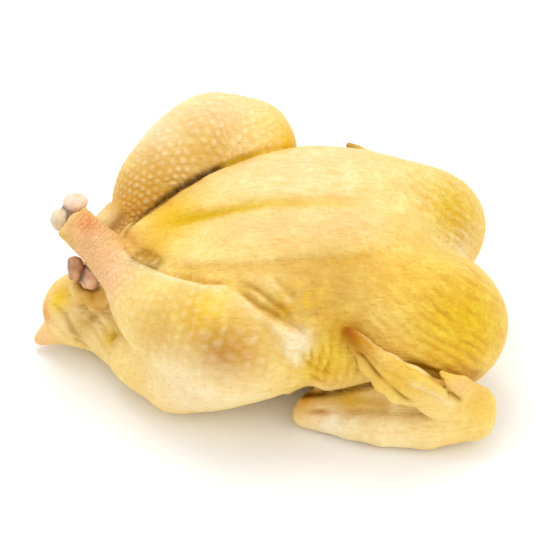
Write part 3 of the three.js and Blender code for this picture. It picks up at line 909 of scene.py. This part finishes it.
def add_rows(p, f):
    """Wrinkles and rows of feather marks on the knee, flank, shoulders, vent and far hock."""
    f.crumple = near(p, vec(12, -68, 87), 13)
    f.flank = near(p, vec(22, -80, 62), 21) * (1 - f.on_near) * f.off_wing
    f.flank_streaks = streaks(p, vec(0.15, 0.3, 1), 5, 33)
    f.near_shoulder = near(p, vec(92, -64, 72), 36) * (f.body < 1)
    f.far_shoulder = near(p, vec(96, 6, 88), 24) * (f.body < 1)
    f.near_marks = f.near_shoulder * streaks(p, NEAR_ROWS, 6.5, 41)
    f.far_marks = f.far_shoulder * streaks(p, FRONT_ROWS, 5, 43)
    f.vent = near(p, vec(-105, -20, 34), 17)
    f.vent_streaks = streaks(p, vec(0.5, 0.1, -0.85), 7, 47)
    f.torn = near(p, vec(-107, -15, 51), 10)
    f.tatters = noise(p / 3.2, 61)
    scaly = 0.35 + 0.65 * np.maximum(near(p, vec(88, -60, 74), 42), near(p, vec(96, 6, 88), 26))
    f.scaly = scaly * (1 - f.on_near) * (1 - f.on_far) * f.off_wing * (f.body < 1.5)


def skin_fields(p):
    f = part_fields(p)
    for add in (add_follicles, add_folds, add_wing_lines, add_breast, add_rows):
        add(p, f)
    return f


# ---- Skin relief, and colour layers with painted shade and highlights ----


def skin_relief(p, f):
    """How far each point of the skin stands out, in millimetres."""
    relief = 0.4 * f.dots
    relief += 0.5 * noise(p / 14, 3) + 0.2 * noise(p / 5, 4) + 0.1 * noise(p / 2.6, 6)
    relief -= 2.8 * f.edge + 2.7 * f.fold + 2.1 * f.upper_fold + 1.4 * f.flank_creases
    relief += 1.5 * f.lip + 2.2 * f.fold_lip + 1.8 * f.ridge + 1.6 * f.fold_ridges
    relief += 1.3 * f.wing_ridges - 1.8 * f.thumb_gap - 1.9 * f.wing_lines - 1.2 * f.wing_crevice
    relief += 1.5 * f.band - 2.2 * f.keel - 0.9 * f.step - 0.7 * f.pits
    relief -= 1.0 * f.seam_near + 2.0 * f.seam_far + 1.0 * f.seam_wing + 2.2 * f.tail_folds
    relief += f.crumple * (1.5 * noise(p / 4.2, 31) + 0.6 * noise(p / 2.1, 32))
    relief += 1.6 * f.flank * f.flank_streaks + 1.0 * f.vent * f.vent_streaks + 1.2 * f.torn * f.tatters
    return relief + 1.2 * f.near_marks + 0.9 * f.far_marks


def breast_layers(f):
    return [
        (0.7 * f.band, FAWN),
        # Painted shade in the keel's groove.
        (0.95 * f.keel * f.keel_fade, DEEP_GOLD),
        # Painted shade below the step on the breast's near side.
        (0.5 * held(f.step), OCHRE),
        (0.4 * f.pits, HONEY),
    ]


def fold_layers(f):
    return [
        # Pale lips along the near leg's upper edge and its knee fold: painted highlight.
        (0.7 * f.lip, CREAM),
        (0.8 * f.fold_lip, CREAM),
        # Painted shade in the groove along the near leg's upper edge.
        (0.75 * f.edge, AMBER),
        (0.6 * f.fold_shade, OCHRE),
        # Painted shade in the knee's folds.
        (0.62 * held(np.maximum(f.fold, f.upper_fold)), FOLD_SHADE),
        # Painted highlight on the ridges between the knee's folds.
        (0.6 * held(f.fold_ridges), STRAW),
        # Painted shade in the flank's creases.
        (0.6 * held(f.flank_creases), FOLD_SHADE),
        (0.7 * f.flank, GOLD),
        # Darker in the troughs of the flank's folds and paler on their crests: painted shade and painted
        # highlight.
        (0.8 * f.flank * held(-f.flank_streaks), AMBER),
        (0.4 * f.flank * held(f.flank_streaks), BUTTER),
    ]


def wing_layers(f):
    return [
        # Painted shade in the hollow over the forearm, under the body.
        (0.7 * f.wing_hollow, OCHRE),
        # Painted highlight on the hand's ridges.
        (0.7 * held(f.wing_ridges), CREAM),
        # Painted shade in the gap behind the thumb, along the arm, round the hand and in the crevice under
        # the body.
        (0.9 * f.thumb_gap, OLIVE),
        (0.85 * held(f.wing_lines), RUSSET),
        (0.5 * f.hand_gap ** 2, UMBER),
        (0.9 * f.wing_crevice, UMBER),
    ]


def row_layers(f):
    return [
        # Painted highlight on the knee's ridge.
        (0.8 * f.ridge, CREAM),
        (0.4 * held(f.near_marks), GOLD),
        (0.8 * held(-f.near_marks), AMBER),
        (0.6 * held(f.far_marks), CREAM),
        (0.65 * held(-f.far_marks), TAN),
        (0.6 * f.vent * held(-f.vent_streaks), AMBER),
        (0.45 * f.vent * held(f.vent_streaks), CREAM),
        # Painted shade in the tail's folds.
        (0.6 * held(f.tail_folds), OLIVE),
    ]


# Painted shade at seams, crevices, the pit and under the body, a painted highlight on the knee, and tints of
# the wing tip, crumple and torn skin.
def shade_highlight_and_tint_layers(p, f):
    return [
        # Painted shade where the near leg and the near wing meet the body.
        (0.35 * f.seam_near, HONEY),
        (0.5 * f.seam_wing, AMBER),
        # Painted shade in the far leg's crevice, and its yellow line on towards the far knee.
        (0.98 * held(1.3 * f.crevice), UMBER),
        (0.8 * groove(p, KNEE_CREVICE, 2.2), GOLD),
        # Painted shade round and in the pit by the near shank.
        (0.8 * near(p, vec(-74, -21, 89), 7.5), TAN),
        (0.98 * f.hollow, UMBER),
        (0.9 * near(p, WING_TIP, 9), RUST),
        (0.35 * near(p, WING_TIP + vec(-1, 0, 1), 5), UMBER),
        # Painted shade under the body along the near wing.
        (0.9 * f.seam_under, UMBER),
        (0.8 * held(f.crumple * (0.5 - noise(p / 3.4, 31))), HONEY),
        # Painted highlight on the knee's pale lip.
        (0.75 * near(p, vec(8.5, -78, 73), 7), IVORY),
        (0.5 * held(f.torn * (0.1 - 1.8 * f.tatters)), AMBER),
    ]


def skin_tone(p, f):
    layers = breast_layers(f) + fold_layers(f) + wing_layers(f) + row_layers(f) + shade_highlight_and_tint_layers(p, f)
    return painted(p, layers)


# ---- Materials ----


class Tree:
    """A new material's nodes, with short ways to add and join them."""

    def __init__(self, name):
        self.material = bpy.data.materials.new(name)
        self.material.use_nodes = True
        self.nodes = self.material.node_tree.nodes
        self.shader = self.nodes["Principled BSDF"]

    def fill(self, socket, value):
        """Links the socket to another node's output, or gives it a plain value."""
        if isinstance(value, bpy.types.NodeSocket):
            self.material.node_tree.links.new(value, socket)
        else:
            socket.default_value = value

    def set(self, node, **values):
        """Fills a node's inputs by name, with _ for a space."""
        for name, value in values.items():
            self.fill(node.inputs[name.replace("_", " ")], value)

    def place(self):
        return self.nodes.new("ShaderNodeTexCoord").outputs["Object"]

    def attribute(self, name, output="Fac"):
        node = self.nodes.new("ShaderNodeAttribute")
        node.attribute_name = name
        return node.outputs[output]

    def math(self, operation, *values):
        node = self.nodes.new("ShaderNodeMath")
        node.operation = operation
        for socket, value in zip(node.inputs, values):
            self.fill(socket, value)
        return node.outputs[0]

    def sum(self, *terms):
        """The total of (weight, output) terms."""
        total = self.math("MULTIPLY", terms[0][1], terms[0][0])
        for weight, output in terms[1:]:
            total = self.math("ADD", total, self.math("MULTIPLY", output, weight))
        return total

    def mixed(self, kind, factor, first, second):
        mix = self.nodes.new("ShaderNodeMix")
        mix.data_type = "RGBA"
        mix.blend_type = kind
        for index, value in ((0, factor), (6, first), (7, (*second, 1))):
            self.fill(mix.inputs[index], value)
        return mix.outputs[2]

    def noise(self, place, scale, detail=3, roughness=0.5, distortion=0):
        node = self.nodes.new("ShaderNodeTexNoise")
        self.set(node, Vector=place, Scale=scale, Detail=detail, Roughness=roughness, Distortion=distortion)
        return node.outputs[0]

    def spread(self, value, low, high, to_low=0, to_high=1):
        """Maps a value from one range to another, held at its ends."""
        node = self.nodes.new("ShaderNodeMapRange")
        for index, number in enumerate((value, low, high, to_low, to_high)):
            self.fill(node.inputs[index], number)
        return node.outputs[0]

    def stretched(self, place, scale, turn):
        node = self.nodes.new("ShaderNodeMapping")
        self.set(node, Vector=place, Scale=scale, Rotation=turn)
        return node.outputs[0]

    def bump(self, height, strength, distance):
        node = self.nodes.new("ShaderNodeBump")
        self.set(node, Height=height, Strength=strength, Distance=distance)
        self.set(self.shader, Normal=node.outputs[0])


def follicle_dots(tree, lattice, place):
    """Dots on the staggered lattice of the follicle map, uneven in strength."""
    row = tree.math("FLOOR", lattice.outputs[0])
    odd = tree.math("MULTIPLY", tree.math("FLOORED_MODULO", row, 2.0), 0.5)
    across = tree.math("ADD", lattice.outputs[1], odd)
    u = tree.math("SUBTRACT", tree.math("FRACT", lattice.outputs[0]), 0.5)
    v = tree.math("SUBTRACT", tree.math("FRACT", across), 0.5)
    reach = tree.math("SQRT", tree.math("ADD", tree.math("MULTIPLY", u, u), tree.math("MULTIPLY", v, v)))
    dot = tree.math("MULTIPLY", tree.spread(reach, 0.5, 0.05), tree.attribute("bumpy"))
    return tree.math("MULTIPLY", dot, tree.spread(tree.noise(place, 110, 2), 0.32, 0.62, 0.15, 1))


def shank_rings(tree, lattice, place):
    """Wavering rings round the near shank."""
    waver = tree.math("MULTIPLY", tree.noise(place, 160, 2), 14.0)
    turns = tree.math("ADD", tree.math("MULTIPLY", lattice.outputs[0], 8.0), waver)
    return tree.math("MULTIPLY", tree.math("SINE", turns), tree.attribute("ringed"))


def skin_textures(tree):
    """The skin's fine patterns: follicles, rings, cloudy mottle, grain, fibres and feather flecks."""
    place = tree.place()
    lattice = tree.nodes.new("ShaderNodeSeparateXYZ")
    tree.fill(lattice.inputs[0], tree.attribute("follicle_map", "Vector"))
    fleck = tree.noise(tree.attribute("fleck_map", "Vector"), 1, 2, 0.6, 0.3)
    scaly = tree.attribute("scaly")
    fibre_place = tree.stretched(place, (110, 620, 620), (0.2, 0.1, 0.05))
    return SimpleNamespace(
        dot=follicle_dots(tree, lattice, place),
        ring=shank_rings(tree, lattice, place),
        mottle=tree.noise(place, 75, 3, 0.55, 0.4),
        grain=tree.noise(place, 520, 3, 0.65),
        fibre=tree.noise(fibre_place, 1, 2, 0.5, 0.6),
        pale_fleck=tree.math("MULTIPLY", tree.spread(fleck, 0.48, 0.74), scaly),
        dark_fleck=tree.math("MULTIPLY", tree.spread(fleck, 0.48, 0.28), scaly),
    )


def skin_colour(tree, t):
    """The painted tone, warmed and lightened by each of the textures in turn."""
    steps = (
        ("MULTIPLY", tree.spread(t.mottle, 0.42, 0.72, 0, 0.55), WARM_MOTTLE),
        ("SOFT_LIGHT", tree.spread(t.mottle, 0.46, 0.3, 0, 0.26), WHITE),
        ("MULTIPLY", tree.spread(t.fibre, 0.48, 0.72, 0, 0.7), WARM_FIBRE),
        ("MULTIPLY", tree.spread(t.grain, 0.5, 0.75, 0, 0.65), WARM_GRAIN),
        ("MULTIPLY", tree.math("MULTIPLY", t.dark_fleck, 0.6), DARK_FLECK),
        ("SOFT_LIGHT", tree.math("MULTIPLY", t.pale_fleck, 0.5), WHITE),
        ("MIX", tree.math("MULTIPLY", t.dot, 0.52), CREAM),
        ("MULTIPLY", tree.spread(t.ring, 0.1, 1, 0, 0.16), RING_PINK),
    )
    colour = tree.attribute("tone", "Color")
    for kind, factor, second in steps:
        colour = tree.mixed(kind, factor, colour, second)
    return colour


def skin_material():
    tree = Tree("raw_skin")
    t = skin_textures(tree)
    height = tree.sum((0.5, t.dot), (0.35, t.grain), (0.5, t.fibre), (-0.18, t.ring), (0.22, t.pale_fleck))
    tree.bump(height, 1.0, 0.0013)
    tree.set(
        tree.shader,
        Base_Color=skin_colour(tree, t),
        Roughness=tree.spread(t.mottle, 0.3, 0.7, 0.55, 0.4),
        Specular_IOR_Level=0.13,
        Subsurface_Weight=0.1,
        Subsurface_Radius=(1.0, 0.6, 0.3),
        Subsurface_Scale=0.0015,
    )
    return tree.material


def bone_material():
    tree = Tree("wet_cartilage")
    cloud = tree.noise(tree.place(), 260, 3, 0.6)
    veins = tree.spread(cloud, 0.45, 0.75, 0, 0.7)
    tree.bump(cloud, 0.4, 0.0006)
    tree.set(
        tree.shader,
        Base_Color=tree.mixed("MULTIPLY", veins, tree.attribute("tone", "Color"), VEIN_RED),
        Roughness=0.4,
        Specular_IOR_Level=0.3,
        Subsurface_Weight=0.15,
        Subsurface_Radius=(1.0, 0.6, 0.5),
        Subsurface_Scale=0.002,
    )
    return tree.material


def floor_material():
    tree = Tree("white_floor")
    tree.set(tree.shader, Base_Color=(0.93, 0.93, 0.93, 1), Roughness=0.6)
    return tree.material


# ---- Pieces ----


def add_attributes(piece, kind, field, values):
    for name, rows in values.items():
        layer = piece.data.attributes.new(name, kind, "POINT")
        layer.data.foreach_set(field, rows.astype(np.float32).ravel())


def paint(piece, tone):
    add_attributes(piece, "FLOAT_COLOR", "color", {"tone": np.column_stack([tone, np.ones(len(tone))])})


def make_skin():
    points, quads = surface(carcass, *SKIN_BOX, SKIN_GRID)
    normals = unit_rows(gradient(carcass, points))
    f = skin_fields(points)
    relief = skin_relief(points, f) * held((points[:, 2] - 0.3) / 4)
    piece = mesh_object("skin", points + normals * relief[:, None], quads)
    paint(piece, skin_tone(points, f))
    maps = {"follicle_map": f.follicle_map, "fleck_map": fleck_map(points)}
    add_attributes(piece, "FLOAT_VECTOR", "vector", maps)
    add_attributes(piece, "FLOAT", "value", {"bumpy": f.bumpy, "ringed": f.ringed, "scaly": f.scaly})
    piece.data.materials.append(skin_material())
    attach(piece, "root")
    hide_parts("carcass")


def bone_tone(p, spec):
    """Pearly or flushed on the knuckles, dark red-brown on the bared tissue where it meets the skin, and
    painted shade in the groove between the two knuckles.
    """
    to_first, to_second = (ellipsoid(p, *knuckle) for knuckle in spec.knuckles)
    first, second = spec.colours
    share = held((to_first - to_second) / 4 + 0.5)[:, None]
    blotches = 1 + spec.blotches * noise(p / 3, 52)[:, None]
    # The groove between the two knuckles, for painted shade.
    between = bell(to_first - to_second, 2.2)
    behind = held(np.minimum(to_first, to_second) / 1.2)
    # Dark red-brown on the tissue off the knuckles, and painted shade in the groove between them.
    gristle_and_shade = (0.85 * np.maximum(between, behind))[:, None]
    return (first * (1 - share) + second * share) * blotches * (1 - gristle_and_shade) + GRISTLE_AND_SHADE * gristle_and_shade


def make_bone(name, node, spec, material):
    def shape(p):
        return bone(p, spec)

    reach = np.array([spec.exit, spec.inner, *(centre for centre, _ in spec.knuckles)])
    points, quads = surface(shape, reach.min(0) - BONE_MARGIN, reach.max(0) + BONE_MARGIN, BONE_GRID)
    dents = spec.dents * noise(points / 2.4, 51)
    piece = mesh_object(name, points + unit_rows(gradient(shape, points)) * dents[:, None], quads)
    paint(piece, bone_tone(points, spec))
    piece.data.materials.append(material)
    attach(piece, "root")
    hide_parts(node)


# ---- Studio ----

CAMERA_AZIMUTH = math.radians(-2)
CAMERA_ELEVATION = math.radians(40)
CAMERA_DISTANCE = 900.0
CAMERA_TARGET = vec(0, 2, 50)
FOCAL_LENGTH = 100.6
SENSOR_WIDTH = 36
FLOOR_SIZE = 8
WORLD_STRENGTH = 1.05
# Each lamp: its name, place, aim, size and power.
LAMPS = (
    ("key", (-0.15, 0.35, 1.2), (0, 0, 0.05), 0.6, 4),
    ("fill", (0.85, -0.5, 0.55), (0.05, 0, 0.05), 0.7, 1.1),
)


def facing(direction):
    """The turn that points a camera or a lamp along a direction."""
    return Vector(direction).to_track_quat("-Z", "Y")


def make_camera():
    camera = bpy.data.objects.new("camera", bpy.data.cameras.new("camera"))
    flat = math.cos(CAMERA_ELEVATION)
    back = vec(math.sin(CAMERA_AZIMUTH) * flat, -math.cos(CAMERA_AZIMUTH) * flat, math.sin(CAMERA_ELEVATION))
    camera.location = Vector(to_world(CAMERA_TARGET + back * CAMERA_DISTANCE))
    camera.rotation_mode = "QUATERNION"
    camera.rotation_quaternion = facing(-back)
    camera.data.lens = FOCAL_LENGTH
    camera.data.sensor_width = SENSOR_WIDTH
    bpy.context.scene.collection.objects.link(camera)
    bpy.context.scene.camera = camera


def make_floor():
    bpy.ops.mesh.primitive_plane_add(size=FLOOR_SIZE)
    floor = bpy.context.object
    floor.name = "floor"
    floor.data.materials.append(floor_material())


def make_lamp(name, place, aim, size, power):
    light = bpy.data.lights.new(name, "AREA")
    light.shape = "DISK"
    light.size = size
    light.energy = power
    lamp = bpy.data.objects.new(name, light)
    lamp.location = Vector(place)
    lamp.rotation_mode = "QUATERNION"
    lamp.rotation_quaternion = facing(Vector(aim) - Vector(place))
    bpy.context.scene.collection.objects.link(lamp)


def make_light():
    world = bpy.data.worlds.new("studio")
    world.use_nodes = True
    background = world.node_tree.nodes["Background"]
    background.inputs["Color"].default_value = (1, 1, 1, 1)
    background.inputs["Strength"].default_value = WORLD_STRENGTH
    bpy.context.scene.world = world
    for lamp in LAMPS:
        make_lamp(*lamp)
    bpy.context.scene.view_settings.view_transform = "Standard"


make_camera()
make_floor()
make_light()
make_skin()
cartilage = bone_material()
make_bone("near_shin_bone_end", "near_shin_bone", NEAR_BONE, cartilage)
make_bone("far_shin_bone_end", "far_shin_bone", FAR_BONE, cartilage)
